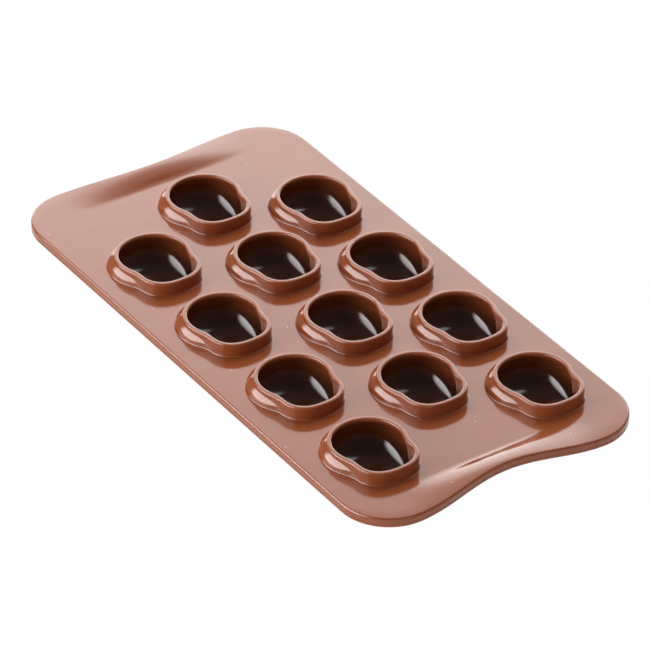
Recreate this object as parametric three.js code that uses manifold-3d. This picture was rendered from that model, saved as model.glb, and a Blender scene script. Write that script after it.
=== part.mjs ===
import * as THREE from 'three';
import Module from 'manifold-3d';
import { mergeVertices } from 'three/addons/utils/BufferGeometryUtils.js';

// Skull chocolate mould: a silicone sheet that carries skull-shaped cups in staggered columns,
// with a raised grip lip along each short end. Millimetres, +Z up. The cups' feet stand on
// z = 0, the sheet's middle is at x = y = 0, and the skulls' jaws point towards +X.

// Heights
const mouldHeight = 15.5; // from the cups' feet to their rims
const rimHeight = 4.7; // rims above the sheet
const sheetThickness = 3.3;
const floorThickness = 1.9; // silicone under the cavity
const domeHeight = 7; // where a cup's rounded bottom turns into its upright wall
const waistDepth = 6; // under the rim, where the cavity's rounded bottom starts
const leanDepth = 7; // under the rim, where the cavity starts to lean towards the jaw

// Sheet
const sheetLength = 214;
const sheetWidth = 106;
const cornerRadius = 18;
const endHollow = 4.2; // how far each short end curves in at its middle
const topEdgeRound = 1;
const bottomEdgeRound = 0.4;

// Grip lips
const lipWidth = 10.4; // from the crease to the hollow end
const lipRise = 2.1;
const lipCrease = 2.4; // length over which its slope sets in
const lipRamp = 9; // length over which it rises
const lipHalfSpan = 37; // the lip fades out at this distance from the sheet's middle line

// Pattern of cups: as many as fit, with at least these webs between them
const backMargin = 3.8; // from the lip's crease to the first cranium
const frontMargin = 2.3; // from the last jaw to the other lip's crease
const sideMargin = 6.55; // from the outer columns to the sheet's long edges
const leastRowWeb = 5;
const leastColumnWeb = 0.6;
const columnShift = 0.7; // the columns stand a little off the sheet's middle line
const staggeredColumnShift = 1.27; // and the staggered column stands further off

// Opening of a cup, inside the rim: two overlapping lobes, the cranium and the jaw
const opening = {
  craniumCentre: -2.9,
  craniumLength: 21.6,
  craniumWidth: 22.6,
  craniumSquareness: 2,
  jawCentre: 5.15,
  jawLength: 17.95,
  jawWidth: 19,
};

// Walls of a cup, and how much wider it is at the sheet than at its rim
const rimWall = 1.5;
const rimRound = 0.5;
const rimBand = 1.1; // upright band under the rim
const cupWall = 1.5;
const craniumSideFlare = 1.9;
const craniumEndFlare = 1.2;
const craniumLean = 1.1; // the cranium also leans back below the rim
const jawSideFlare = 0.2;
const jawEndFlare = 0.2;
const shoulderFoot = 1.3; // height above the sheet at which the shoulder starts
const seatClearance = 0.3; // between a cup and its hole in the sheet
const seatFillet = 0.6; // fillet at the cup's foot on the sheet, which covers the hole's edge
const seatEdge = 0.2; // thickness of that fillet at its rim
const footCut = 0.9; // depth by which the rounded bottom is cut flat to stand on
const floorCut = 0.4; // and the cavity's rounded bottom to lay the face on
const footLean = 6.5; // how far the foot lies towards the jaw
const floorLean = 5.5; // and the cavity's floor

// Face on the floor of the cavity, raised here and so hollow in the chocolate: two eye sockets,
// the nose and the line of the mouth, each the upper half of an ellipsoid, in shares of the
// floor's length and width and of the rounded bottom's depth
const faceShares = [
  { along: 0.37, across: 0.3, length: 0.34, width: 0.38, height: 0.34 },
  { along: 0.37, across: -0.3, length: 0.34, width: 0.38, height: 0.34 },
  { along: 0.68, across: 0, length: 0.24, width: 0.19, height: 0.25 },
  { along: 0.91, across: 0, length: 0.1, width: 0.52, height: 0.2 },
];

// Shapes of the curves
const jawSquareness = 2.5;
const bodySquareness = 2.12;
const templeSharpness = 14;
const domeSquareness = 2.2;
const cavitySquareness = 3.2;
const shoulderSquareness = 2.4;
const domeShares = [0, 0.12, 0.5, 1]; // heights of the rounded bottom's rings
const cavityShares = [0.15, 0.4, 0.68, 0.88, 1]; // depths of the cavity's rings under its waist
const shoulderShares = [0.65, 0.3, 0]; // depths of the shoulder's rings under the rim's band
const staggerShare = 0.5; // of the distance between rows

// Fineness
const jawSteps = 4;
const craniumSteps = 6;
const outlineSteps = 2 * (jawSteps + craniumSteps);
const cornerSteps = 4;
const endSteps = 8;
const rampSteps = 4;
const faceSegments = 8;
const faceRings = 4;
const crossingTries = 40;
const cutOverrun = 1;

// Derived heights
const sheetTop = mouldHeight - rimHeight;
const sheetBottom = sheetTop - sheetThickness;
const waist = mouldHeight - waistDepth;
const bottomDepth = waist - floorThickness; // of the cavity's rounded bottom

// Outline of a cup where it passes through the sheet
const body = {
  craniumCentre: opening.craniumCentre - craniumLean,
  craniumLength: opening.craniumLength + 2 * (rimWall + craniumEndFlare),
  craniumWidth: opening.craniumWidth + 2 * (rimWall + craniumSideFlare),
  craniumSquareness: bodySquareness,
  jawCentre: opening.jawCentre,
  jawLength: opening.jawLength + 2 * (rimWall + jawEndFlare),
  jawWidth: opening.jawWidth + 2 * (rimWall + jawSideFlare),
};

// Places of the cups
const crease = sheetLength / 2 - endHollow - lipWidth;
const craniumReach = body.craniumLength / 2 - body.craniumCentre;
const jawReach = body.jawCentre + body.jawLength / 2;
const firstRow = -crease + backMargin + craniumReach;
const lastRow = crease - frontMargin - jawReach;
const leastRowPitch = craniumReach + jawReach + 2 * seatFillet + leastRowWeb;
const rowCount = Math.max(Math.floor((lastRow - firstRow) / leastRowPitch + staggerShare), 1);
const rowPitch = (lastRow - firstRow) / (rowCount - 1 + staggerShare);
const columnSpan = sheetWidth - 2 * sideMargin - body.craniumWidth;
const leastColumnPitch = body.craniumWidth + 2 * seatFillet + leastColumnWeb;
const columnCount = Math.max(Math.floor(columnSpan / leastColumnPitch), 0) + 1;
const columnPitch = columnSpan / Math.max(columnCount - 1, 1);

const wasm = await Module();
wasm.setup();

// Half-width of one lobe of the outline at a distance from its centre
function lobe(distance, reach, halfWidth, squareness) {
  const share = Math.min(Math.abs(distance) / reach, 1);
  return halfWidth * Math.pow(1 - Math.pow(share, squareness), 1 / squareness);
}

// Skull outline seen from above, counterclockwise from the chin, grown by `grow` all round
function skullOutline(skull, grow) {
  const craniumReachX = skull.craniumLength / 2 + grow;
  const jawReachX = skull.jawLength / 2 + grow;
  const craniumReachY = skull.craniumWidth / 2 + grow;
  const jawReachY = skull.jawWidth / 2 + grow;
  const craniumAt = (x) => lobe(x - skull.craniumCentre, craniumReachX, craniumReachY, skull.craniumSquareness);
  const jawAt = (x) => lobe(x - skull.jawCentre, jawReachX, jawReachY, jawSquareness);

  // temple, where the two lobes cross
  let behind = skull.craniumCentre;
  let before = skull.craniumCentre + craniumReachX;
  for (let i = 0; i < crossingTries; i++) {
    const middle = (behind + before) / 2;
    if (craniumAt(middle) > jawAt(middle)) behind = middle;
    else before = middle;
  }
  const jawTurn = Math.acos((behind - skull.jawCentre) / jawReachX);
  const craniumTurn = Math.acos((behind - skull.craniumCentre) / craniumReachX);

  const half = [];
  for (let i = 0; i <= jawSteps; i++) {
    half.push(skull.jawCentre + jawReachX * Math.cos((jawTurn * i) / jawSteps));
  }
  for (let i = 1; i <= craniumSteps; i++) {
    const angle = craniumTurn + ((Math.PI - craniumTurn) * i) / craniumSteps;
    half.push(skull.craniumCentre + craniumReachX * Math.cos(angle));
  }
  const side = half.slice(1, -1).map((x) => {
    const lobes = craniumAt(x) ** templeSharpness + jawAt(x) ** templeSharpness;
    return new THREE.Vector2(x, lobes ** (1 / templeSharpness));
  });
  const otherSide = side.map((point) => new THREE.Vector2(point.x, -point.y)).reverse();
  const chin = new THREE.Vector2(half[0], 0);
  const back = new THREE.Vector2(half[half.length - 1], 0);
  return [chin, ...side, back, ...otherSide];
}

// Ring at height z, partway from one outline to another
function ring(z, from, to = from, share = 0) {
  return from.map((point, i) => {
    const place = point.clone().lerp(to[i], share);
    return new THREE.Vector3(place.x, place.y, z);
  });
}

// The same ring drawn in towards the skull's middle, which may be moved along X
function drawnIn(points, share, moved = 0) {
  const middle = new THREE.Vector3(body.craniumCentre / 2, 0, points[0].z);
  const move = new THREE.Vector3(moved, 0, 0);
  return points.map((point) => middle.clone().lerp(point, share).add(move));
}

// Closed skin through rings, from the middle of the first to the middle of the last
function skin(rings) {
  const positions = [];
  const add = (...corners) => corners.forEach((corner) => positions.push(...corner.toArray()));
  const middleOf = (points) => points[0].clone().lerp(points[points.length / 2], 0.5);
  const first = rings[0];
  const last = rings[rings.length - 1];
  for (let i = 0; i < outlineSteps; i++) {
    const next = (i + 1) % outlineSteps;
    add(middleOf(first), first[next], first[i]);
    add(middleOf(last), last[i], last[next]);
    for (let k = 0; k + 1 < rings.length; k++) {
      add(rings[k][i], rings[k][next], rings[k + 1][next]);
      add(rings[k][i], rings[k + 1][next], rings[k + 1][i]);
    }
  }
  const geometry = new THREE.BufferGeometry();
  geometry.setAttribute('position', new THREE.Float32BufferAttribute(positions, 3));
  return geometry;
}

// Geometry as a manifold-3d solid, and back
function solidOf(geometry) {
  const bare = geometry.clone();
  bare.deleteAttribute('normal');
  bare.deleteAttribute('uv');
  const merged = mergeVertices(bare);
  return new wasm.Manifold(
    new wasm.Mesh({
      numProp: 3,
      vertProperties: Float32Array.from(merged.attributes.position.array),
      triVerts: Uint32Array.from(merged.index.array),
    }),
  );
}

function geometryOf(solid) {
  const mesh = solid.getMesh();
  const geometry = new THREE.BufferGeometry();
  geometry.setAttribute('position', new THREE.Float32BufferAttribute(mesh.vertProperties, 3));
  geometry.setIndex(new THREE.BufferAttribute(mesh.triVerts, 1));
  geometry.computeVertexNormals();
  return geometry;
}

// Rounded bottoms of the cup and of its cavity: they start at `top`, are cut flat at `foot`,
// which lies `cut` above their pole, and lean towards the jaw below `leanTop`
const outerBottom = {
  top: domeHeight,
  foot: 0,
  cut: footCut,
  leanTop: sheetBottom,
  lean: footLean,
  squareness: domeSquareness,
};
const innerBottom = {
  top: waist,
  foot: floorThickness,
  cut: floorCut,
  leanTop: mouldHeight - leanDepth,
  lean: floorLean,
  squareness: cavitySquareness,
};

function bottomRing(z, outline, bottom) {
  const share = (bottom.top - z) / (bottom.top - bottom.foot + bottom.cut);
  const reach = (1 - share ** bottom.squareness) ** (1 / bottom.squareness);
  const leaning = Math.max((bottom.leanTop - z) / (bottom.leanTop - bottom.foot), 0);
  return drawnIn(ring(z, outline), reach, bottom.lean * leaning);
}

// A cup without its face: foot, rounded bottom, upright wall, fillet on the sheet, shoulder,
// rim, and then the cavity, which is wider than its opening
function cupShell() {
  const outside = skullOutline(body, 0);
  const rimOutside = skullOutline(opening, rimWall);
  const inside = skullOutline(body, -cupWall);
  const filletRim = skullOutline(body, seatFillet);
  const rimBottom = mouldHeight - rimRound;
  const shoulderTop = mouldHeight - rimBand;
  const shoulderHeight = shoulderTop - sheetTop - shoulderFoot;

  const rings = domeShares.map((share) => bottomRing(share * domeHeight, outside, outerBottom));
  rings.push(ring(sheetBottom, outside));
  rings.push(ring(sheetTop, outside));
  rings.push(ring(sheetTop, filletRim));
  rings.push(ring(sheetTop + seatEdge, filletRim));
  rings.push(ring(sheetTop + seatFillet, outside));
  for (const share of shoulderShares) {
    const inwards = (1 - share) ** shoulderSquareness;
    rings.push(ring(shoulderTop - share * shoulderHeight, outside, rimOutside, inwards));
  }
  rings.push(ring(rimBottom, rimOutside));
  rings.push(ring(mouldHeight, skullOutline(opening, rimWall - rimRound)));
  rings.push(ring(mouldHeight, skullOutline(opening, rimRound / 2)));
  rings.push(ring(rimBottom, skullOutline(opening, 0)));

  rings.push(ring(waist, inside));
  for (const share of cavityShares) {
    rings.push(bottomRing(waist - share * bottomDepth, inside, innerBottom));
  }
  return solidOf(skin(rings));
}

// One part of the face, standing on the cavity's floor
function facePart(share) {
  const floorRing = bottomRing(floorThickness, skullOutline(body, -cupWall), innerBottom);
  const floor = new THREE.Box3().setFromPoints(floorRing);
  const size = floor.getSize(new THREE.Vector3());
  const ellipsoid = new THREE.SphereGeometry(1, faceSegments, faceRings);
  ellipsoid.rotateX(Math.PI / 2);
  ellipsoid.scale((share.length * size.x) / 2, (share.width * size.y) / 2, share.height * bottomDepth);
  ellipsoid.translate(floor.min.x + share.along * size.x, share.across * size.y, floorThickness);
  return solidOf(ellipsoid).trimByPlane([0, 0, 1], floorThickness / 2);
}

let cupSolid = cupShell();
for (const share of faceShares) cupSolid = cupSolid.add(facePart(share));
const cupGeometry = geometryOf(cupSolid);

const silicone = () => new THREE.MeshStandardMaterial({ color: 0x7a4532, roughness: 0.3, metalness: 0 });

// Rows of points over the sheet at one height, from the -Y edge to the +Y edge: each row runs
// from end to end, with places for the crease, and every point is lifted with the grip lips
function sheetRows(inset, z) {
  const halfLength = sheetLength / 2 - inset;
  const halfWidth = sheetWidth / 2 - inset;
  const radius = cornerRadius - inset;
  const straight = halfWidth - radius;
  const places = [];
  for (let i = 0; i <= rampSteps; i++) places.push(crease + (lipRamp * i) / rampSteps);

  const ends = [];
  for (let i = 0; i < cornerSteps; i++) {
    const angle = (Math.PI / 2) * (1 - i / cornerSteps);
    ends.push([halfLength - radius * (1 - Math.cos(angle)), -straight - radius * Math.sin(angle)]);
  }
  for (let i = 0; i <= endSteps; i++) {
    const across = (2 * i) / endSteps - 1;
    const hollow = (endHollow * (1 + Math.cos(Math.PI * across))) / 2;
    ends.push([halfLength - hollow, across * straight]);
  }
  for (let i = cornerSteps - 1; i >= 0; i--) ends.push([ends[i][0], -ends[i][1]]);

  return ends.map(([end, y]) => {
    const inCorner = Math.abs(y) > straight;
    const half = places.map((x) => (inCorner ? (x * end) / halfLength : x)).concat(end);
    const all = half.map((x) => -x).reverse().concat(half);
    return all.map((x) => new THREE.Vector3(x, y, z + lipLift(x, y)));
  });
}

// How far the grip lips lift the sheet at a place
function lipLift(x, y) {
  const beyond = THREE.MathUtils.clamp(Math.abs(x) - crease, 0, lipRamp);
  const along =
    beyond < lipCrease
      ? beyond ** 2 / (lipCrease * lipRamp)
      : 1 - (lipRamp - beyond) ** 2 / ((lipRamp - lipCrease) * lipRamp);
  const across = Math.cos((Math.PI / 2) * Math.min(Math.abs(y) / lipHalfSpan, 1));
  return lipRise * along * across ** 2;
}

// Edge of such rows, counterclockwise
function edgeOf(rows) {
  const first = rows[0];
  const last = rows[rows.length - 1];
  const right = rows.slice(1, -1).map((row) => row[row.length - 1]);
  const left = rows.slice(1, -1).map((row) => row[0]);
  return [...first, ...right, ...last.slice().reverse(), ...left.reverse()];
}

// The sheet without its holes
function plainSheet() {
  const layers = [
    sheetRows(bottomEdgeRound, sheetBottom),
    sheetRows(0, sheetBottom + bottomEdgeRound),
    sheetRows(0, sheetTop - topEdgeRound),
    sheetRows(topEdgeRound * (1 - Math.SQRT1_2), sheetTop - topEdgeRound * (1 - Math.SQRT1_2)),
    sheetRows(topEdgeRound, sheetTop),
  ];
  const positions = [];
  const add = (...corners) => corners.forEach((corner) => positions.push(...corner.toArray()));
  const bottom = layers[0];
  const top = layers[layers.length - 1];
  for (let k = 0; k + 1 < top.length; k++) {
    for (let i = 0; i + 1 < top[k].length; i++) {
      add(top[k][i], top[k][i + 1], top[k + 1][i + 1]);
      add(top[k][i], top[k + 1][i + 1], top[k + 1][i]);
      add(bottom[k][i], bottom[k + 1][i + 1], bottom[k][i + 1]);
      add(bottom[k][i], bottom[k + 1][i], bottom[k + 1][i + 1]);
    }
  }
  const edges = layers.map(edgeOf);
  for (let k = 0; k + 1 < edges.length; k++) {
    edges[k].forEach((point, i) => {
      const next = (i + 1) % edges[k].length;
      add(point, edges[k][next], edges[k + 1][next]);
      add(point, edges[k + 1][next], edges[k + 1][i]);
    });
  }
  const geometry = new THREE.BufferGeometry();
  geometry.setAttribute('position', new THREE.Float32BufferAttribute(positions, 3));
  return solidOf(geometry);
}

// Cutter for the hole that one cup passes through
function holeCutter(place) {
  const outline = new THREE.Shape(skullOutline(body, seatClearance));
  const depth = sheetThickness + 2 * cutOverrun;
  const cutter = new THREE.ExtrudeGeometry(outline, { depth, bevelEnabled: false });
  cutter.translate(place.x, place.y, sheetBottom - cutOverrun);
  return solidOf(cutter);
}

// The cups, column by column: every other column starts half a pitch earlier
const cups = [];
for (let column = 0; column < columnCount; column++) {
  const staggered = column % 2 === 1;
  for (let row = 0; row < rowCount; row++) {
    cups.push({
      name: `skull_cup_${'abcdefgh'[column]}${row + 1}`,
      x: firstRow + rowPitch * (row + (staggered ? 0 : staggerShare)),
      y: columnPitch * column - columnSpan / 2 + columnShift + (staggered ? staggeredColumnShift : 0),
    });
  }
}

const mould = new THREE.Group();

let sheetSolid = plainSheet();
for (const cup of cups) sheetSolid = sheetSolid.subtract(holeCutter(cup));
const sheet = new THREE.Mesh(geometryOf(sheetSolid), silicone());
sheet.name = 'sheet';
mould.add(sheet);

for (const cup of cups) {
  const mesh = new THREE.Mesh(cupGeometry, silicone());
  mesh.name = cup.name;
  mesh.position.set(cup.x, cup.y, 0);
  mould.add(mesh);
}

export default mould;
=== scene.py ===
import math

import bmesh
import bpy
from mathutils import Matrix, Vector


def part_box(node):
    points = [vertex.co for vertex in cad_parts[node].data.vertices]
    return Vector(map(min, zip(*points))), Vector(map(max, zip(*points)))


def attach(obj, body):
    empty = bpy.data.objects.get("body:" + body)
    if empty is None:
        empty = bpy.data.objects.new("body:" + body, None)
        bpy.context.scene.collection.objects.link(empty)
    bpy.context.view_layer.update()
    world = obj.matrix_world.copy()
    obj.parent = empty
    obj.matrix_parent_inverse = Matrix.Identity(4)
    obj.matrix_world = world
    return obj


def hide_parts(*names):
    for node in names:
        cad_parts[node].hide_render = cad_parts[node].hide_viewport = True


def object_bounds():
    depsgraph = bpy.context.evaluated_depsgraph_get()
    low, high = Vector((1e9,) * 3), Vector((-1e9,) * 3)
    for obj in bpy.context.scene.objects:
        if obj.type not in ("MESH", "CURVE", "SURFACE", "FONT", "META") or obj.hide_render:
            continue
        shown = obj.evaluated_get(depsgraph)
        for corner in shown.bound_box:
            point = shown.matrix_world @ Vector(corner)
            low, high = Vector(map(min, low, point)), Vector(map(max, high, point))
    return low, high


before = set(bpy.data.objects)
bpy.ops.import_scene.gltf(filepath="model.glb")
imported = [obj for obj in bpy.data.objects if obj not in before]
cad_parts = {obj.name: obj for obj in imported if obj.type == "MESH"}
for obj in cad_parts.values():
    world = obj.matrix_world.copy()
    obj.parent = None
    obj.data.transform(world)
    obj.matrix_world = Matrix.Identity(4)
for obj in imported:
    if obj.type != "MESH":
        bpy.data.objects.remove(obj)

mm = 0.001
cadLow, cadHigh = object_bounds()
cupNodes = sorted(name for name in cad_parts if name.startswith("skull_cup"))
print("frame loaded,", len(cupNodes), "cups")

# Sizes and heights above the cups' feet that the sheet and the cups share, in millimetres
rimHeight = 4.7                # rims above the sheet
sheetThickness = 3.3
level = {
    "rim": cadHigh.z / mm,
    "sheetTop": cadHigh.z / mm - rimHeight,
    "sheetBottom": cadHigh.z / mm - rimHeight - sheetThickness,
}
smoothAngle = math.radians(40)     # corners sharper than this stay sharp


# Helpers for modelling

def deselectAll():
    if bpy.context.object and bpy.context.object.mode != "OBJECT":
        bpy.ops.object.mode_set(mode="OBJECT")
    bpy.ops.object.select_all(action="DESELECT")


def markVertices(piece):
    # numbers the vertices, and what is extruded from a vertex keeps its number
    bm = bmesh.from_edit_mesh(piece.data)
    mark = bm.verts.layers.int.new("mark")
    for vertex in bm.verts:
        vertex[mark] = vertex.index
    bmesh.update_edit_mesh(piece.data)


def placeSelected(piece, placeOf):
    # each selected vertex goes where its number says, in millimetres
    bm = bmesh.from_edit_mesh(piece.data)
    mark = bm.verts.layers.int["mark"]
    for vertex in bm.verts:
        if vertex.select:
            vertex.co = Vector(placeOf(vertex[mark])) * mm
    bmesh.update_edit_mesh(piece.data)


def smoothStep(low, high, value):
    share = min(max((value - low) / (high - low), 0), 1)
    return share * share * (3 - 2 * share)


def quarterTurn(steps):
    # sine, and one less the cosine, at even steps over a quarter of a circle
    turns = [math.pi / 2 * i / steps for i in range(steps + 1)]
    return [(math.sin(turn), 1 - math.cos(turn)) for turn in turns]


def finishMesh(piece):
    # normals outwards, marks taken off, smooth but for sharp corners
    bpy.ops.mesh.select_all(action="SELECT")
    bpy.ops.mesh.normals_make_consistent(inside=False)
    bm = bmesh.from_edit_mesh(piece.data)
    bm.verts.layers.int.remove(bm.verts.layers.int["mark"])
    bmesh.update_edit_mesh(piece.data)
    bpy.ops.object.mode_set(mode="OBJECT")
    bpy.ops.object.shade_smooth_by_angle(angle=smoothAngle)


# Outline of a skull from above: the cranium's lobe towards -X and the jaw's towards +X

opening = {
    "craniumCentre": -2.9,
    "craniumLength": 21.6,
    "craniumWidth": 22.6,
    "craniumSquareness": 2.0,
    "jawCentre": 5.15,
    "jawLength": 17.95,
    "jawWidth": 19.0,
    "jawSquareness": 2.5,
    "templeSharpness": 14,
    "steps": 128,
}

cupSize = {
    "rimWall": 1.65,
    "rimRound": 0.5,
    "rimBand": 1.1,            # upright band under the rim, in millimetres like the rest
    "shoulderFoot": 0.4,       # height over the sheet where the shoulder starts
    "shoulderSquareness": 2.2,
    "wall": 1.5,
    "craniumSideFlare": 1.75,
    "craniumEndFlare": 1.05,
    "craniumLean": 1.1,
    "bodySquareness": 2.12,
    "jawFlare": 0.05,
    "topFillet": 0.4,
    "topFilletSink": 0.01,     # its edge lies this far in the sheet
    "underFillet": 0.45,
    "seatGrow": 0.05,          # how much wider the wall is in its hole
    "seatEdge": 0.4,           # depth at which it is, from both sides of the sheet
    "cadFillet": 0.6,          # how far the CAD cup reaches past its outline, at the sheet
    "holeClearance": 0.2,
    "leastFlare": 0.01,
    "bottomSteps": 14,
    "filletSteps": 6,
    "shoulderSteps": 16,
    "rimSteps": 6,
    "neckSteps": 10,
    "cavitySteps": 47,
}

# Rounded bottoms: their top and foot, how far under the foot their pole would lie, and where and
# how far they lean towards the jaw
outerBottom = {
    "top": 7.0, "foot": 0.0, "cut": 0.9, "squareness": 2.2,
    "leanTop": level["sheetBottom"], "lean": 6.5, "leanCurve": 1.15,
}
innerBottom = {
    "top": level["rim"] - 6.0, "foot": 1.9, "cut": 0.4, "squareness": 3.2,
    "leanTop": level["rim"] - 6.5, "lean": 5.5, "leanCurve": 1.25,
}

flareLength = 2 * (cupSize["rimWall"] + cupSize["craniumEndFlare"])
flareWidth = 2 * (cupSize["rimWall"] + cupSize["craniumSideFlare"])
flareJaw = 2 * (cupSize["rimWall"] + cupSize["jawFlare"])
body = dict(
    opening,
    craniumCentre=opening["craniumCentre"] - cupSize["craniumLean"],
    craniumLength=opening["craniumLength"] + flareLength,
    craniumWidth=opening["craniumWidth"] + flareWidth,
    craniumSquareness=cupSize["bodySquareness"],
    jawLength=opening["jawLength"] + flareJaw,
    jawWidth=opening["jawWidth"] + flareJaw,
)


def lobeHalfWidth(skull, lobe, grow, x):
    # half-width of the cranium or of the jaw at one place along the skull
    reach = skull[lobe + "Length"] / 2 + grow
    squareness = skull[lobe + "Squareness"]
    share = min(abs(x - skull[lobe + "Centre"]) / reach, 1)
    return (skull[lobe + "Width"] / 2 + grow) * (1 - share ** squareness) ** (1 / squareness)


def skullOutline(skull, grow):
    # counterclockwise from the chin
    back = skull["craniumCentre"] - skull["craniumLength"] / 2 - grow
    chin = skull["jawCentre"] + skull["jawLength"] / 2 + grow
    sharpness = skull["templeSharpness"]
    points = []
    for i in range(skull["steps"]):
        angle = 2 * math.pi * i / skull["steps"]
        x = (back + chin) / 2 + (chin - back) / 2 * math.cos(angle)
        lobes = [lobeHalfWidth(skull, lobe, grow, x) for lobe in ("cranium", "jaw")]
        halfWidth = sum(half ** sharpness for half in lobes) ** (1 / sharpness)
        points.append(Vector((x, math.copysign(halfWidth, math.sin(angle)))))
    return points


def outwardDistance(outer, inner, i):
    # how far a point of one outline stands out over the same point of another
    along = outer[(i + 1) % len(outer)] - outer[i - 1]
    return (outer[i] - inner[i]).dot(Vector((along.y, -along.x)).normalized())


def between(first, second, shares):
    return [a.lerp(b, share) for a, b, share in zip(first, second, shares)]


def bottomReach(bottom):
    # share of the outline that is left at the foot
    share = (bottom["top"] - bottom["foot"]) / (bottom["top"] - bottom["foot"] + bottom["cut"])
    return (1 - share ** bottom["squareness"]) ** (1 / bottom["squareness"])


def leanAt(height, bottom):
    share = max((bottom["leanTop"] - height) / (bottom["leanTop"] - bottom["foot"]), 0)
    return Vector((bottom["lean"] * share ** bottom["leanCurve"], 0))


def bottomRing(outline, reach, bottom):
    # ring of a rounded bottom at a share of its outline, with its height
    depth = bottom["top"] - bottom["foot"] + bottom["cut"]
    drop = depth * (1 - min(reach, 1) ** bottom["squareness"]) ** (1 / bottom["squareness"])
    height = max(bottom["top"] - drop, bottom["foot"])
    middle = Vector((body["craniumCentre"] / 2, 0))
    return height, [middle.lerp(point, reach) + leanAt(height, bottom) for point in outline]


# Face in the bottom of a cavity: raised here, so hollow in the chocolate

face = {
    "eyeX": 1.6, "eyeY": 4.4, "eyeLength": 5.8, "eyeWidth": 5.9, "eyeHeight": 2.6,
    "eyeTopShare": 0.62, "eyeFootShare": 1.1,
    "noseX": 6.9, "noseLength": 4.0, "noseWidth": 3.2, "noseHeight": 1.9,
    "noseBridgeShare": 0.35, "noseTopShare": 0.55, "noseEndShare": 0.25,
    "grooveShare": 0.3, "grooveDepthShare": 0.25,
    "mouthX": 11.0, "mouthHeight": 0.9, "mouthLine": 0.35, "mouthReach": 4.4,
    "mouthBend": 0.022, "mouthFade": 1.0,
    "toothPitch": 1.4, "toothLine": 0.26, "toothHeight": 0.6, "toothLength": 1.7, "toothFade": 0.5,
    "cheekX": 8.0, "cheekY": 6.8, "cheekReach": 2.1, "cheekHeight": 0.8,
    "fullShare": 0.72, "edgeShare": 0.9,    # shares of the floor inside which it stands and ends
}


def eyeHeight(x, side):
    along = (x - face["eyeX"]) * 2 / face["eyeLength"]
    across = (side - face["eyeY"]) * 2 / face["eyeWidth"]
    place = math.hypot(along, across)
    return face["eyeHeight"] * (1 - smoothStep(face["eyeTopShare"], face["eyeFootShare"], place))


def noseHeight(x, side):
    along = (x - face["noseX"]) / face["noseLength"] + 0.5
    if not 0 < along < 1:
        return 0
    bridge, end = face["noseBridgeShare"], face["noseEndShare"]
    across = side * 2 / (face["noseWidth"] * (bridge + (1 - bridge) * along))
    groove = 1 - face["grooveDepthShare"] * (1 - smoothStep(0, face["grooveShare"], across))
    ends = smoothStep(0, end, along) * smoothStep(0, end, 1 - along)
    return face["noseHeight"] * (1 - smoothStep(face["noseTopShare"], 1, across)) * groove * ends


def mouthHeight(x, side):
    # the line between the jaws, bent round them, and the lines between the teeth
    place = x - face["mouthX"] + face["mouthBend"] * side * side
    inMouth = 1 - smoothStep(face["mouthReach"] - face["mouthFade"], face["mouthReach"], side)
    line = place / face["mouthLine"]
    height = face["mouthHeight"] * math.exp(-line * line) * inMouth
    tooth = (side / face["toothPitch"]) % 1 - 0.5
    gap = (0.5 - abs(tooth)) * face["toothPitch"] / face["toothLine"]
    inRow = 1 - smoothStep(face["toothLength"] - face["toothFade"], face["toothLength"], abs(place))
    return height + face["toothHeight"] * math.exp(-gap * gap) * inRow * inMouth


def faceHeight(x, y):
    side = abs(y)
    cheek = math.hypot(x - face["cheekX"], side - face["cheekY"]) / face["cheekReach"]
    cheekHeight = face["cheekHeight"] * math.exp(-cheek * cheek)
    return eyeHeight(x, side) + noseHeight(x, side) + mouthHeight(x, side) + cheekHeight


# Rings of one cup, from the edge of its foot up the outside, over the rim and down to the floor

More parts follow.
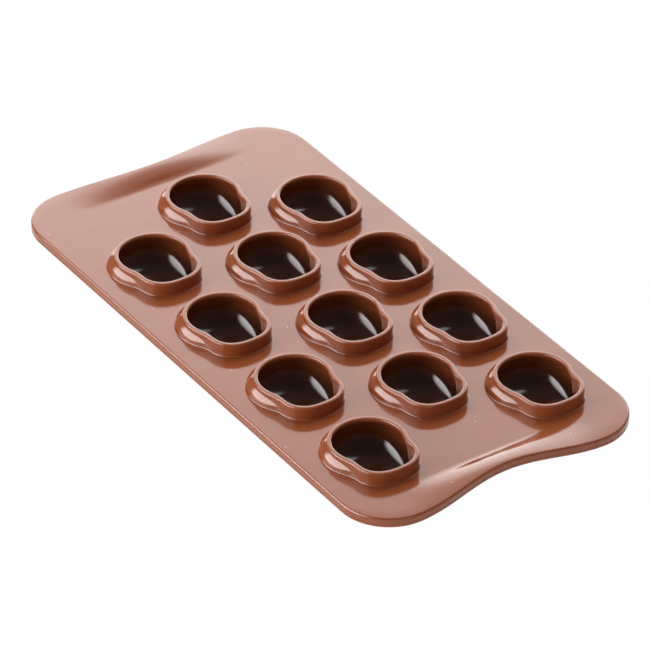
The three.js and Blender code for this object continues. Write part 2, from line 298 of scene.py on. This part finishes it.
def cupRings():
    size = cupSize
    outside = skullOutline(body, 0)
    rimOutside = skullOutline(opening, size["rimWall"])
    inside = skullOutline(body, -size["wall"])
    mouth = skullOutline(opening, 0)
    rings = []

    def add(height, outline):
        rings.append([Vector((point.x, point.y, height)) for point in outline])

    # rounded bottom, cut flat to stand on
    flat = bottomReach(outerBottom)
    for rise, fall in quarterTurn(size["bottomSteps"]):
        add(*bottomRing(outside, flat + (1 - flat) * rise, outerBottom))

    # fillet under the sheet, through the hole, fillet on the sheet
    under = size["underFillet"]
    for rise, fall in quarterTurn(size["filletSteps"]):
        height = level["sheetBottom"] - under + under * rise
        lean = leanAt(height, outerBottom)
        add(height, [point + lean for point in skullOutline(body, under * fall)])
    seat = skullOutline(body, size["seatGrow"])
    add(level["sheetBottom"] + size["seatEdge"], seat)
    add(level["sheetTop"] - size["seatEdge"], seat)
    over = size["topFillet"]
    for rise, fall in quarterTurn(size["filletSteps"]):
        height = level["sheetTop"] + over * fall - size["topFilletSink"]
        add(height, skullOutline(body, over * (1 - rise)))

    # shoulder, upright band, rounded rim
    foot = level["sheetTop"] + size["shoulderFoot"]
    head = level["rim"] - size["rimBand"]
    flares = [outwardDistance(outside, rimOutside, i) for i in range(len(outside))]
    for i in range(size["shoulderSteps"] + 1):
        # the dome of the cranium sinks into the upright wall, first where it stands out least
        share = i / size["shoulderSteps"]
        drawn = max(flares) * share ** size["shoulderSquareness"]
        shares = [min(drawn / max(flare, size["leastFlare"]), 1) for flare in flares]
        add(foot + (head - foot) * share, between(outside, rimOutside, shares))
    rounding = size["rimRound"]
    for rise, fall in quarterTurn(size["rimSteps"]):
        outline = skullOutline(opening, size["rimWall"] - rounding * fall)
        add(level["rim"] - rounding + rounding * rise, outline)
    for rise, fall in quarterTurn(size["rimSteps"]):
        add(level["rim"] - rounding * fall, skullOutline(opening, rounding * (1 - rise)))

    # cavity: wider under its rim, then the rounded bottom with the face
    for i, (rise, fall) in enumerate(quarterTurn(size["neckSteps"])):
        height = head + (innerBottom["top"] - head) * i / size["neckSteps"]
        add(height, between(mouth, inside, [rise] * len(mouth)))
    for rise, fall in quarterTurn(size["cavitySteps"])[1:-1]:
        height, ring = bottomRing(inside, 1 - fall, innerBottom)
        onFloor = 1 - smoothStep(face["fullShare"], face["edgeShare"], 1 - fall)
        rings.append([Vector((p.x, p.y, height + onFloor * faceHeight(p.x, p.y))) for p in ring])
    return rings


def buildCup():
    rings = cupRings()
    deselectAll()
    bpy.ops.mesh.primitive_circle_add(vertices=opening["steps"], radius=opening["craniumWidth"] / 2 * mm)
    cup = bpy.context.object
    bpy.ops.object.mode_set(mode="EDIT")
    markVertices(cup)
    placeSelected(cup, lambda number: rings[0][number])
    bpy.ops.mesh.edge_face_add()
    bpy.ops.mesh.select_all(action="DESELECT")
    bpy.ops.mesh.select_mode(type="EDGE")
    bm = bmesh.from_edit_mesh(cup.data)
    for edge in bm.edges:
        edge.select_set(True)
    bm.select_flush_mode()
    bmesh.update_edit_mesh(cup.data)
    bpy.ops.mesh.select_mode(type="VERT")
    for ring in rings[1:]:
        bpy.ops.mesh.extrude_edges_move()
        placeSelected(cup, lambda number: ring[number])
    bpy.ops.mesh.merge(type="CENTER")
    finishMesh(cup)
    return cup


def cupPlace(node):
    # the middle of the cup's mouth, from the box of its CAD node
    low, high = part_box(node)
    back = skullOutline(body, cupSize["cadFillet"])[opening["steps"] // 2].x * mm
    return Vector((low.x - back, (low.y + high.y) / 2, 0))


# The sheet: rounded corners, hollow short ends, and a raised grip lip along each

sheetSize = {
    "length": (cadHigh.x - cadLow.x) / mm,
    "width": (cadHigh.y - cadLow.y) / mm,
    "cornerRadius": 17.6,
    "endHollow": 4.4,
    "topRound": 0.7,
    "bottomRound": 0.4,
    "partingHeight": 1.3,      # of the fine line round its side, over its underside
    "partingDepth": 0.07,
    "partingWidth": 0.32,
    "chamferShare": 0.3,       # of the bottom's rounding, where its middle lies
    "lipWidth": 10.3,          # from its crease to the hollow end
    "lipRise": 2.1,
    "lipCrease": 2.4,          # length over which its slope sets in
    "lipRamp": 9,              # length over which it rises
    "lipHalfSpan": 37.0,
    "creaseMargin": 1.0,       # the finer rows of points start this far before the crease
    "endMargin": 0.6,          # and end this far before the end's rounding
    "mergeDistance": 0.005,
    "cutOverrun": 1.0,
    "roundSteps": 8,
    "cornerSteps": 14,
    "endSteps": 72,
    "lipSteps": 22,
    "middleSteps": 24,
}


def lipLift(x, y):
    # the slope sets in within the crease and then fades out towards the end
    size = sheetSize
    crease, ramp = size["lipCrease"], size["lipRamp"]
    beyond = abs(x) - (size["length"] / 2 - size["endHollow"] - size["lipWidth"])
    beyond = min(max(beyond, 0), ramp)
    if beyond < crease:
        share = beyond * beyond / (crease * ramp)
    else:
        share = 1 - (ramp - beyond) ** 2 / ((ramp - crease) * ramp)
    across = math.cos(math.pi / 2 * min(abs(y) / size["lipHalfSpan"], 1))
    return size["lipRise"] * share * across * across


def endOutline(inset):
    # points of the +X end, from the -Y edge to the +Y edge
    size = sheetSize
    halfLength = size["length"] / 2 - inset
    radius = size["cornerRadius"] - inset
    straight = size["width"] / 2 - size["cornerRadius"]
    corner = []
    for rise, fall in reversed(quarterTurn(size["cornerSteps"])[1:]):
        corner.append((halfLength - radius * fall, -straight - radius * rise))
    hollow = []
    for i in range(size["endSteps"] + 1):
        across = 2 * i / size["endSteps"] - 1
        depth = size["endHollow"] * (1 + math.cos(math.pi * across)) / 2
        hollow.append((halfLength - depth, across * straight))
    return corner + hollow + [(x, -y) for x, y in reversed(corner)]


def sheetRows(inset, height):
    # rows of points from end to end, lifted with the lips
    size = sheetSize
    halfLength = size["length"] / 2 - inset
    straight = size["width"] / 2 - size["cornerRadius"]
    hollowEnd = size["length"] / 2 - size["endHollow"]
    crease = hollowEnd - size["lipWidth"] - size["creaseMargin"]
    last = hollowEnd - size["topRound"] - size["endMargin"]
    rows = []
    for end, y in endOutline(inset):
        squeeze = end / halfLength if abs(y) > straight else 1
        half = [crease * i / size["middleSteps"] for i in range(size["middleSteps"])]
        half += [crease + (last - crease) * i / size["lipSteps"] for i in range(size["lipSteps"] + 1)]
        half = [x * squeeze for x in half] + [end]
        row = [-x for x in reversed(half[1:])] + half
        rows.append([Vector((x, y, height + lipLift(x, y))) for x in row])
    return rows


def addSheetGrid(sheet, rows):
    # shapes the grid that was just added, and numbers its vertices by row and place
    columns = len(rows[0])
    bm = bmesh.from_edit_mesh(sheet.data)
    mark = bm.verts.layers.int.get("mark") or bm.verts.layers.int.new("mark")
    fresh = [vertex for vertex in bm.verts if vertex.select]
    for vertex in fresh:
        column = round((vertex.co.x + 0.5) * (columns - 1))
        row = round((vertex.co.y + 0.5) * (len(rows) - 1))
        vertex[mark] = row * columns + column
        vertex.co = rows[row][column] * mm
    bmesh.update_edit_mesh(sheet.data)


def buildSheet(holes):
    size = sheetSize
    top = sheetRows(size["topRound"], level["sheetTop"])
    bottom = sheetRows(size["bottomRound"], level["sheetBottom"])
    columns = len(top[0])
    deselectAll()
    bpy.ops.mesh.primitive_grid_add(x_subdivisions=columns - 1, y_subdivisions=len(top) - 1, size=1)
    sheet = bpy.context.object
    sheet.name = "siliconeSheet"
    bpy.ops.object.mode_set(mode="EDIT")
    addSheetGrid(sheet, top)

    # side, ring by ring down from the top
    ringPlaces = []
    for rise, fall in quarterTurn(size["roundSteps"])[1:]:
        ringPlaces.append((size["topRound"] * (1 - rise), size["topRound"] * fall))
    parting = sheetThickness - size["partingHeight"]
    chamfer = size["bottomRound"] * size["chamferShare"]
    ringPlaces += [
        (0, parting - size["partingWidth"] / 2),
        (size["partingDepth"], parting),
        (0, parting + size["partingWidth"] / 2),
        (0, sheetThickness - size["bottomRound"]),
        (chamfer, sheetThickness - chamfer),
    ]
    bpy.ops.mesh.select_all(action="DESELECT")
    bpy.ops.mesh.select_mode(type="EDGE")
    bpy.ops.mesh.select_non_manifold(extend=False)
    for inset, down in ringPlaces:
        rows = sheetRows(inset, level["sheetTop"] - down)
        bpy.ops.mesh.extrude_edges_move()
        placeSelected(sheet, lambda number: rows[number // columns][number % columns])
    bpy.ops.mesh.extrude_edges_move()
    placeSelected(sheet, lambda number: bottom[number // columns][number % columns])

    # underside
    bpy.ops.mesh.select_all(action="DESELECT")
    bpy.ops.mesh.select_mode(type="VERT")
    bpy.ops.mesh.primitive_grid_add(x_subdivisions=columns - 1, y_subdivisions=len(top) - 1, size=1)
    addSheetGrid(sheet, bottom)
    bpy.ops.mesh.select_all(action="SELECT")
    bpy.ops.mesh.remove_doubles(threshold=size["mergeDistance"] * mm)
    finishMesh(sheet)

    # holes for the cups
    deselectAll()
    bpy.ops.mesh.primitive_circle_add(vertices=opening["steps"], radius=mm)
    cutter = bpy.context.object
    bpy.ops.object.mode_set(mode="EDIT")
    markVertices(cutter)
    outline = skullOutline(body, cupSize["holeClearance"])
    overrun = size["cutOverrun"]
    placeSelected(cutter, lambda number: (*outline[number], level["sheetBottom"] - overrun))
    bpy.ops.mesh.edge_face_add()
    up = (0, 0, (sheetThickness + 2 * overrun) * mm)
    bpy.ops.mesh.extrude_region_move(TRANSFORM_OT_translate={"value": up})
    finishMesh(cutter)
    for place in holes:
        cutter.location = place
        cut = sheet.modifiers.new("hole", "BOOLEAN")
        cut.operation = "DIFFERENCE"
        cut.object = cutter
        deselectAll()
        bpy.context.view_layer.objects.active = sheet
        sheet.select_set(True)
        bpy.ops.object.modifier_apply(modifier=cut.name)
    bpy.data.objects.remove(cutter)
    bpy.ops.object.shade_smooth_by_angle(angle=smoothAngle)
    return sheet


# Silicone

silicone = {
    "color": (0.28, 0.073, 0.025, 1),
    # painted shade: near their floors the cavities take this dark colour in place of the silicone's own
    "paintedShadeColor": (0.07, 0.027, 0.015, 1),
    "paintedShadeFrom": 11.8,          # heights between which the painted shade darkens the colour
    "paintedShadeTo": 4.0,
    "roughness": 0.1,
    "roughnessChange": 0.05,
    "ior": 1.43,
    "waveLength": 9.0,         # of the faint unevenness of its surface, in millimetres
    "waveDetail": 3,
    "waveLow": 0.3,            # range of the noise that the gloss follows
    "waveHigh": 0.7,
    "waveStrength": 0.05,
    "dustCell": 11.0,          # one place for a dust speck in each such square
    "dustSize": 0.24,
    "dustChance": 0.14,
    "dustFacing": 0.9,         # dust lies where the surface faces up at least this much
    "dustColor": (0.6, 0.45, 0.38, 1),
}


def mathNode(tree, operation, first, second):
    # the second is a socket or a number
    node = tree.nodes.new("ShaderNodeMath")
    node.operation = operation
    tree.links.new(first, node.inputs[0])
    if isinstance(second, bpy.types.NodeSocket):
        tree.links.new(second, node.inputs[1])
    else:
        node.inputs[1].default_value = second
    return node.outputs[0]


def surfaceGroup():
    # unevenness of the gloss and of the surface, and masks for dust specks and for painted shade that
    # darkens with depth
    group = bpy.data.node_groups.new("siliconeSurface", "ShaderNodeTree")
    for name in ("Roughness", "Dust", "Depth"):
        group.interface.new_socket(name, in_out="OUTPUT", socket_type="NodeSocketFloat")
    group.interface.new_socket("Normal", in_out="OUTPUT", socket_type="NodeSocketVector")
    nodes, links = group.nodes, group.links
    output = nodes.new("NodeGroupOutput")
    place = nodes.new("ShaderNodeTexCoord").outputs["Object"]

    wave = nodes.new("ShaderNodeTexNoise")
    wave.inputs["Scale"].default_value = 1 / (silicone["waveLength"] * mm)
    wave.inputs["Detail"].default_value = silicone["waveDetail"]
    links.new(place, wave.inputs["Vector"])
    gloss = nodes.new("ShaderNodeMapRange")
    gloss.inputs["From Min"].default_value = silicone["waveLow"]
    gloss.inputs["From Max"].default_value = silicone["waveHigh"]
    gloss.inputs["To Min"].default_value = silicone["roughness"]
    gloss.inputs["To Max"].default_value = silicone["roughness"] + silicone["roughnessChange"]
    links.new(wave.outputs[0], gloss.inputs["Value"])
    links.new(gloss.outputs[0], output.inputs["Roughness"])
    bump = nodes.new("ShaderNodeBump")
    bump.inputs["Strength"].default_value = silicone["waveStrength"]
    bump.inputs["Distance"].default_value = mm
    links.new(wave.outputs[0], bump.inputs["Height"])
    links.new(bump.outputs[0], output.inputs["Normal"])

    cells = nodes.new("ShaderNodeTexVoronoi")
    cells.voronoi_dimensions = "2D"
    cells.inputs["Scale"].default_value = 1 / (silicone["dustCell"] * mm)
    links.new(place, cells.inputs["Vector"])
    split = nodes.new("ShaderNodeSeparateColor")
    links.new(cells.outputs["Color"], split.inputs[0])
    facing = nodes.new("ShaderNodeSeparateXYZ")
    links.new(nodes.new("ShaderNodeNewGeometry").outputs["Normal"], facing.inputs[0])
    sizeShare = silicone["dustSize"] / silicone["dustCell"]
    small = mathNode(group, "LESS_THAN", cells.outputs["Distance"], sizeShare)
    chosen = mathNode(group, "LESS_THAN", split.outputs[0], silicone["dustChance"])
    upward = mathNode(group, "GREATER_THAN", facing.outputs["Z"], silicone["dustFacing"])
    dust = mathNode(group, "MULTIPLY", mathNode(group, "MULTIPLY", small, chosen), upward)
    links.new(dust, output.inputs["Dust"])

    # painted shade: a mask that rises from the upper height to the lower one, so the cavities darken
    # towards their floors
    up = nodes.new("ShaderNodeSeparateXYZ")
    links.new(place, up.inputs[0])
    depth = nodes.new("ShaderNodeMapRange")
    depth.interpolation_type = "SMOOTHSTEP"
    depth.inputs["From Min"].default_value = silicone["paintedShadeFrom"] * mm
    depth.inputs["From Max"].default_value = silicone["paintedShadeTo"] * mm
    links.new(up.outputs["Z"], depth.inputs["Value"])
    links.new(depth.outputs[0], output.inputs["Depth"])
    return group


def siliconeMaterial(name, group, masks):
    # each mask of the group brings in a colour over the silicone's own
    material = bpy.data.materials.new(name)
    material.use_nodes = True
    nodes, links = material.node_tree.nodes, material.node_tree.links
    shader = nodes["Principled BSDF"]
    shader.inputs["IOR"].default_value = silicone["ior"]
    surface = nodes.new("ShaderNodeGroup")
    surface.node_tree = group
    mixed = None
    for mask, color in masks:
        mix = nodes.new("ShaderNodeMix")
        mix.data_type = "RGBA"
        under, over = (socket for socket in mix.inputs if socket.type == "RGBA")
        under.default_value, over.default_value = silicone["color"], silicone[color]
        if mixed:
            links.new(mixed, under)
        mixed = next(socket for socket in mix.outputs if socket.type == "RGBA")
        links.new(surface.outputs[mask], mix.inputs["Factor"])
    links.new(mixed, shader.inputs["Base Color"])
    links.new(surface.outputs["Roughness"], shader.inputs["Roughness"])
    links.new(surface.outputs["Normal"], shader.inputs["Normal"])
    return material


# Build the mould

siliconeSurface = surfaceGroup()
dust = ("Dust", "dustColor")
chocolateSilicone = siliconeMaterial("chocolateSilicone", siliconeSurface, (dust,))
# in the cavities the colour darkens towards the floor: painted shade
cavityPaintedShadeSilicone = siliconeMaterial("cavityPaintedShadeSilicone", siliconeSurface, (("Depth", "paintedShadeColor"), dust))
places = {node: cupPlace(node) for node in cupNodes}

sheet = buildSheet(list(places.values()))
sheet.data.materials.append(chocolateSilicone)
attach(sheet, "root")
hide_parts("sheet")
print("sheet built,", len(sheet.data.polygons), "faces")

firstCup = buildCup()
firstCup.data.materials.append(chocolateSilicone)
firstCup.data.materials.append(cavityPaintedShadeSilicone)
# the cavity, which gets the painted shade, is what faces a point over the mouth
overMouth = Vector((body["craniumCentre"] / 2, 0, level["rim"] + rimHeight)) * mm
for polygon in firstCup.data.polygons:
    polygon.material_index = int(polygon.normal.dot(overMouth - polygon.center) > 0)
for node in cupNodes:
    deselectAll()
    bpy.context.view_layer.objects.active = firstCup
    firstCup.select_set(True)
    bpy.ops.object.duplicate()
    cup = bpy.context.object
    cup.name = "siliconeCup" + node[-2:].upper()
    bpy.ops.transform.translate(value=places[node])
    bpy.ops.object.transform_apply(location=True, rotation=True, scale=True)
    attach(cup, "root")
    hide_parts(node)
print("cups built,", len(firstCup.data.polygons), "faces each")
bpy.data.objects.remove(firstCup)


# Studio: a plain pale floor, white surroundings, and large soft lights behind and at the left

studio = {
    "aim": (12.5, -7.23, level["rim"]),
    "cameraAzimuth": -33.98,   # from +X, towards +Y
    "cameraElevation": 34.86,
    "cameraDistance": 1583.0,
    "focalPixels": 4930,
    "framePixels": 650,
    "sensorWidth": 36,
    "clipStart": 50.0,
    "ambient": 0.12,
    "floorSize": 6000.0,
    "floorDrop": 0.05,         # under the cups' feet
    "floorColor": (0.9, 0.9, 0.9, 1),
    "floorRoughness": 0.9,
    "floorWhiteShare": 0.98,   # of the surroundings' white, which the floor shows
}

# Lights: where each stands as seen from the mould, how wide and high it looks, in degrees, and
# its radiance at shares of its height, from its foot up. With "gloss" true a light shows in the
# gloss alone, with false it lights the colour alone, and without it both. With "round" it is
# oval, and its edge fades out over this share of it
lights = {
    "backLight": {
        "azimuth": 143, "elevation": 30, "wide": 72, "high": 70, "gloss": True,
        "radiance": ((0, 5), (0.52, 5), (0.61, 3), (0.72, 1.6), (0.88, 1.1), (1, 0.5)),
    },
    "backFill": {
        "azimuth": 143, "elevation": 44, "wide": 80, "high": 40, "gloss": False,
        "radiance": ((0, 3.5), (1, 3.5)),
    },
    "topFill": {
        "azimuth": 143, "elevation": 68, "wide": 60, "high": 40, "gloss": False,
        "radiance": ((0, 2.2), (1, 2.2)),
    },
    "leftLight": {
        "azimuth": -112, "elevation": 31, "wide": 76, "high": 70, "gloss": True,
        "radiance": ((0, 13), (0.4, 13), (1, 7)), "round": 0.4,
    },
    "leftFill": {
        "azimuth": -106, "elevation": 22, "wide": 30, "high": 34, "gloss": False,
        "radiance": ((0, 9), (1, 9)),
    },
    "rightLight": {
        "azimuth": 82, "elevation": 50, "wide": 12, "high": 40, "gloss": True,
        "radiance": ((0, 5), (1, 5)), "round": 0.5,
    },
    "frontFill": {
        "azimuth": -34, "elevation": 5, "wide": 90, "high": 16,
        "radiance": ((0, 2), (1, 2)),
    },
}
lightDistance = 1500


def towards(azimuth, elevation, distance):
    a, e = math.radians(azimuth), math.radians(elevation)
    return Vector((math.cos(e) * math.cos(a), math.cos(e) * math.sin(a), math.sin(e))) * distance * mm


aim = Vector(studio["aim"]) * mm

cameraData = bpy.data.cameras.new("camera")
cameraData.sensor_width = studio["sensorWidth"]
cameraData.lens = cameraData.sensor_width * studio["focalPixels"] / studio["framePixels"]
cameraData.clip_start = studio["clipStart"] * mm
camera = bpy.data.objects.new("camera", cameraData)
bpy.context.scene.collection.objects.link(camera)
viewpoint = (studio["cameraAzimuth"], studio["cameraElevation"], studio["cameraDistance"])
camera.location = aim + towards(*viewpoint)
camera.rotation_euler = (camera.location - aim).to_track_quat("Z", "Y").to_euler()
bpy.context.scene.camera = camera


def glowMaterial(name, light):
    material = bpy.data.materials.new(name)
    material.use_nodes = True
    nodes, links = material.node_tree.nodes, material.node_tree.links
    nodes.clear()
    output = nodes.new("ShaderNodeOutputMaterial")
    glow = nodes.new("ShaderNodeEmission")
    fade = nodes.new("ShaderNodeValToRGB")
    strongest = max(value for share, value in light["radiance"])
    steps = fade.color_ramp.elements
    while len(steps) < len(light["radiance"]):
        steps.new(0.5)
    for step, (share, value) in zip(steps, light["radiance"]):
        step.position = share
        step.color = (value / strongest, value / strongest, value / strongest, 1)
    place = nodes.new("ShaderNodeTexCoord").outputs["UV"]
    split = nodes.new("ShaderNodeSeparateXYZ")
    links.new(place, split.inputs[0])
    links.new(split.outputs["Y"], fade.inputs[0])
    color = fade.outputs[0]
    if "round" in light:
        # the panel's corners go to -1 and 1, and a ball's fall-off makes it oval
        centred = nodes.new("ShaderNodeMapping")
        centred.inputs["Location"].default_value = (-1, -1, 0)
        centred.inputs["Scale"].default_value = (2, 2, 0)
        links.new(place, centred.inputs[0])
        oval = nodes.new("ShaderNodeTexGradient")
        oval.gradient_type = "SPHERICAL"
        links.new(centred.outputs[0], oval.inputs[0])
        edge = nodes.new("ShaderNodeMapRange")
        edge.interpolation_type = "SMOOTHSTEP"
        edge.inputs["From Max"].default_value = light["round"]
        links.new(oval.outputs["Fac"], edge.inputs["Value"])
        dimmed = nodes.new("ShaderNodeVectorMath")
        dimmed.operation = "SCALE"
        links.new(color, dimmed.inputs[0])
        links.new(edge.outputs[0], dimmed.inputs["Scale"])
        color = dimmed.outputs[0]
    links.new(color, glow.inputs["Color"])
    glow.inputs["Strength"].default_value = strongest
    links.new(glow.outputs[0], output.inputs["Surface"])
    return material


def softbox(name, light):
    deselectAll()
    bpy.ops.mesh.primitive_plane_add(size=1)
    panel = bpy.context.object
    panel.name = name
    width = 2 * lightDistance * math.tan(math.radians(light["wide"] / 2))
    height = 2 * lightDistance * math.tan(math.radians(light["high"] / 2))
    panel.scale = (width * mm, height * mm, 1)
    panel.location = aim + towards(light["azimuth"], light["elevation"], lightDistance)
    panel.rotation_euler = (panel.location - aim).to_track_quat("Z", "Y").to_euler()
    bpy.ops.object.transform_apply(location=True, rotation=True, scale=True)
    panel.visible_camera = False
    panel.visible_glossy = light.get("gloss", True)
    panel.visible_diffuse = not light.get("gloss", False)
    panel.data.materials.append(glowMaterial(name, light))


for name, light in lights.items():
    softbox(name, light)


def straightRays(tree, kinds):
    # a mask for the rays that see the white surroundings
    path = tree.nodes.new("ShaderNodeLightPath")
    mask = path.outputs["Is " + kinds[0] + " Ray"]
    for kind in kinds[1:]:
        mask = mathNode(tree, "MAXIMUM", mask, path.outputs["Is " + kind + " Ray"])
    return mask


world = bpy.data.worlds.new("studioWorld")
bpy.context.scene.world = world
world.use_nodes = True
worldNodes, worldLinks = world.node_tree.nodes, world.node_tree.links
worldNodes.clear()
output = worldNodes.new("ShaderNodeOutputWorld")
mixer = worldNodes.new("ShaderNodeMixShader")
ambient = worldNodes.new("ShaderNodeBackground")
white = worldNodes.new("ShaderNodeBackground")
ambient.inputs["Strength"].default_value = studio["ambient"]
ambient.inputs["Color"].default_value = (1, 1, 1, 1)
white.inputs["Color"].default_value = (1, 1, 1, 1)
worldLinks.new(straightRays(world.node_tree, ("Camera", "Transmission")), mixer.inputs[0])
worldLinks.new(ambient.outputs[0], mixer.inputs[1])
worldLinks.new(white.outputs[0], mixer.inputs[2])
worldLinks.new(mixer.outputs[0], output.inputs[0])

deselectAll()
underFeet = (0, 0, -studio["floorDrop"] * mm)
bpy.ops.mesh.primitive_plane_add(size=studio["floorSize"] * mm, location=underFeet)
floor = bpy.context.object
floor.name = "studioFloor"
floorMaterial = bpy.data.materials.new("paleFloor")
floorMaterial.use_nodes = True
floorNodes, floorLinks = floorMaterial.node_tree.nodes, floorMaterial.node_tree.links
floorShader = floorNodes["Principled BSDF"]
floorShader.inputs["Base Color"].default_value = studio["floorColor"]
floorShader.inputs["Roughness"].default_value = studio["floorRoughness"]
glow = floorNodes.new("ShaderNodeEmission")
glow.inputs["Strength"].default_value = 1.0
blend = floorNodes.new("ShaderNodeMixShader")
seen = straightRays(floorMaterial.node_tree, ("Camera", "Glossy", "Transmission"))
whitened = mathNode(floorMaterial.node_tree, "MULTIPLY", seen, studio["floorWhiteShare"])
floorLinks.new(whitened, blend.inputs[0])
floorLinks.new(floorShader.outputs[0], blend.inputs[1])
floorLinks.new(glow.outputs[0], blend.inputs[2])
# seen from below, the floor is clear
clear = floorNodes.new("ShaderNodeBsdfTransparent")
sided = floorNodes.new("ShaderNodeMixShader")
floorLinks.new(floorNodes.new("ShaderNodeNewGeometry").outputs["Backfacing"], sided.inputs[0])
floorLinks.new(blend.outputs[0], sided.inputs[1])
floorLinks.new(clear.outputs[0], sided.inputs[2])
floorLinks.new(sided.outputs[0], floorNodes["Material Output"].inputs[0])
floor.data.materials.append(floorMaterial)

bpy.context.scene.view_settings.view_transform = "Standard"
print("studio set up,", len(lights), "lights")
